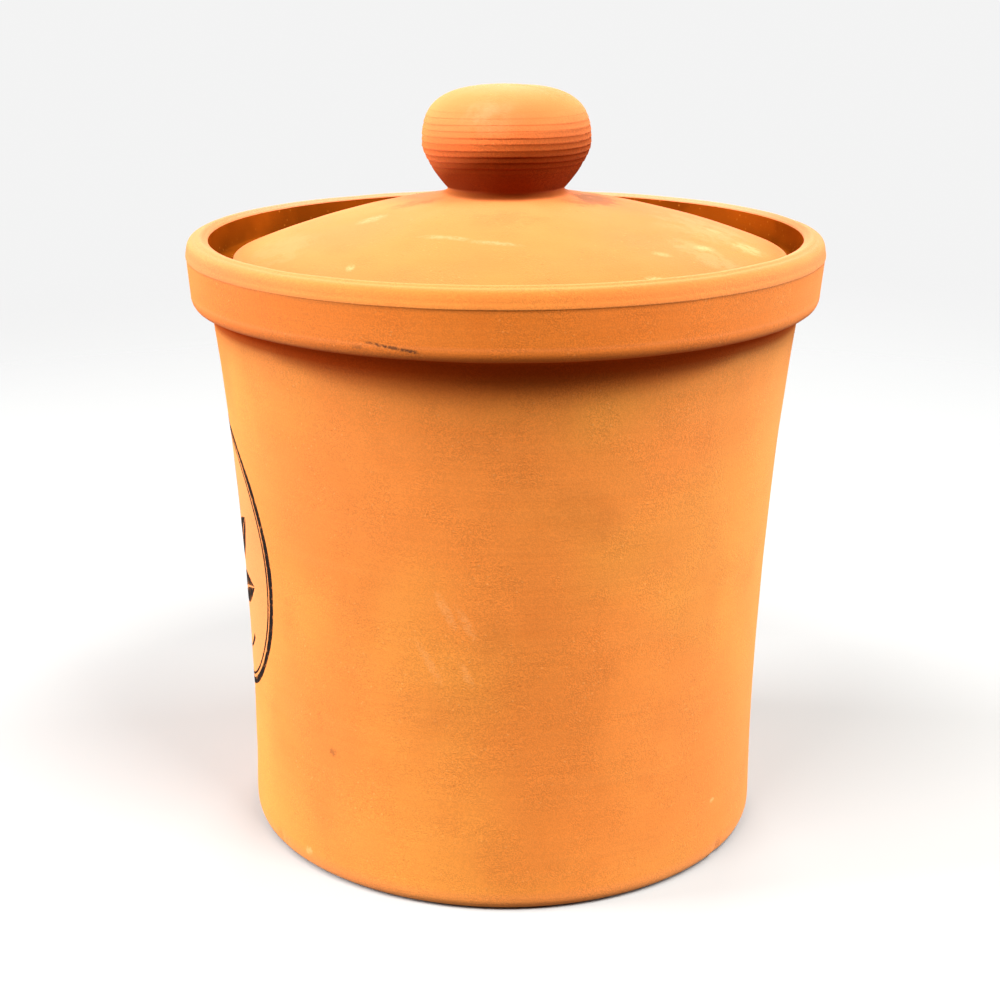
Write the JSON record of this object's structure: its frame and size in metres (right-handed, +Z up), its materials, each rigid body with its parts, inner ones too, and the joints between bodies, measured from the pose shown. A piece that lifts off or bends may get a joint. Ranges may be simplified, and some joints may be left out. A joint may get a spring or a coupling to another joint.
{
  "type": "tea canister",
  "caption": "Round terracotta tea canister with a flaring wall, a collar band and a domed lid with a ball knob, resting in a recess inside the lip.",
  "frame": {"origin": "middle of the jar's flat underside, on the surface it stands on", "axes": "+Z up along the turning axis of the jar; the oval print faces -X, turned a little towards -Y; the lid lies 0.7 mm towards +X"},
  "size_m": [0.1402, 0.1402, 0.1676],
  "materials": {
    "terracotta_jar": "matte unglazed clay with fine sandy grain; glossy brown glaze inside the lip",
    "terracotta_lid": "matte unglazed clay with fine sandy grain and turning rings on the knob",
    "printed_mark": "fired matte near-black print on the wall: an oval frame of two lines round a plain leaf sprig"
  },
  "bodies": {
    "root": {"jar": "terracotta_jar", "lid": "terracotta_lid"}
  },
  "joints": []
}
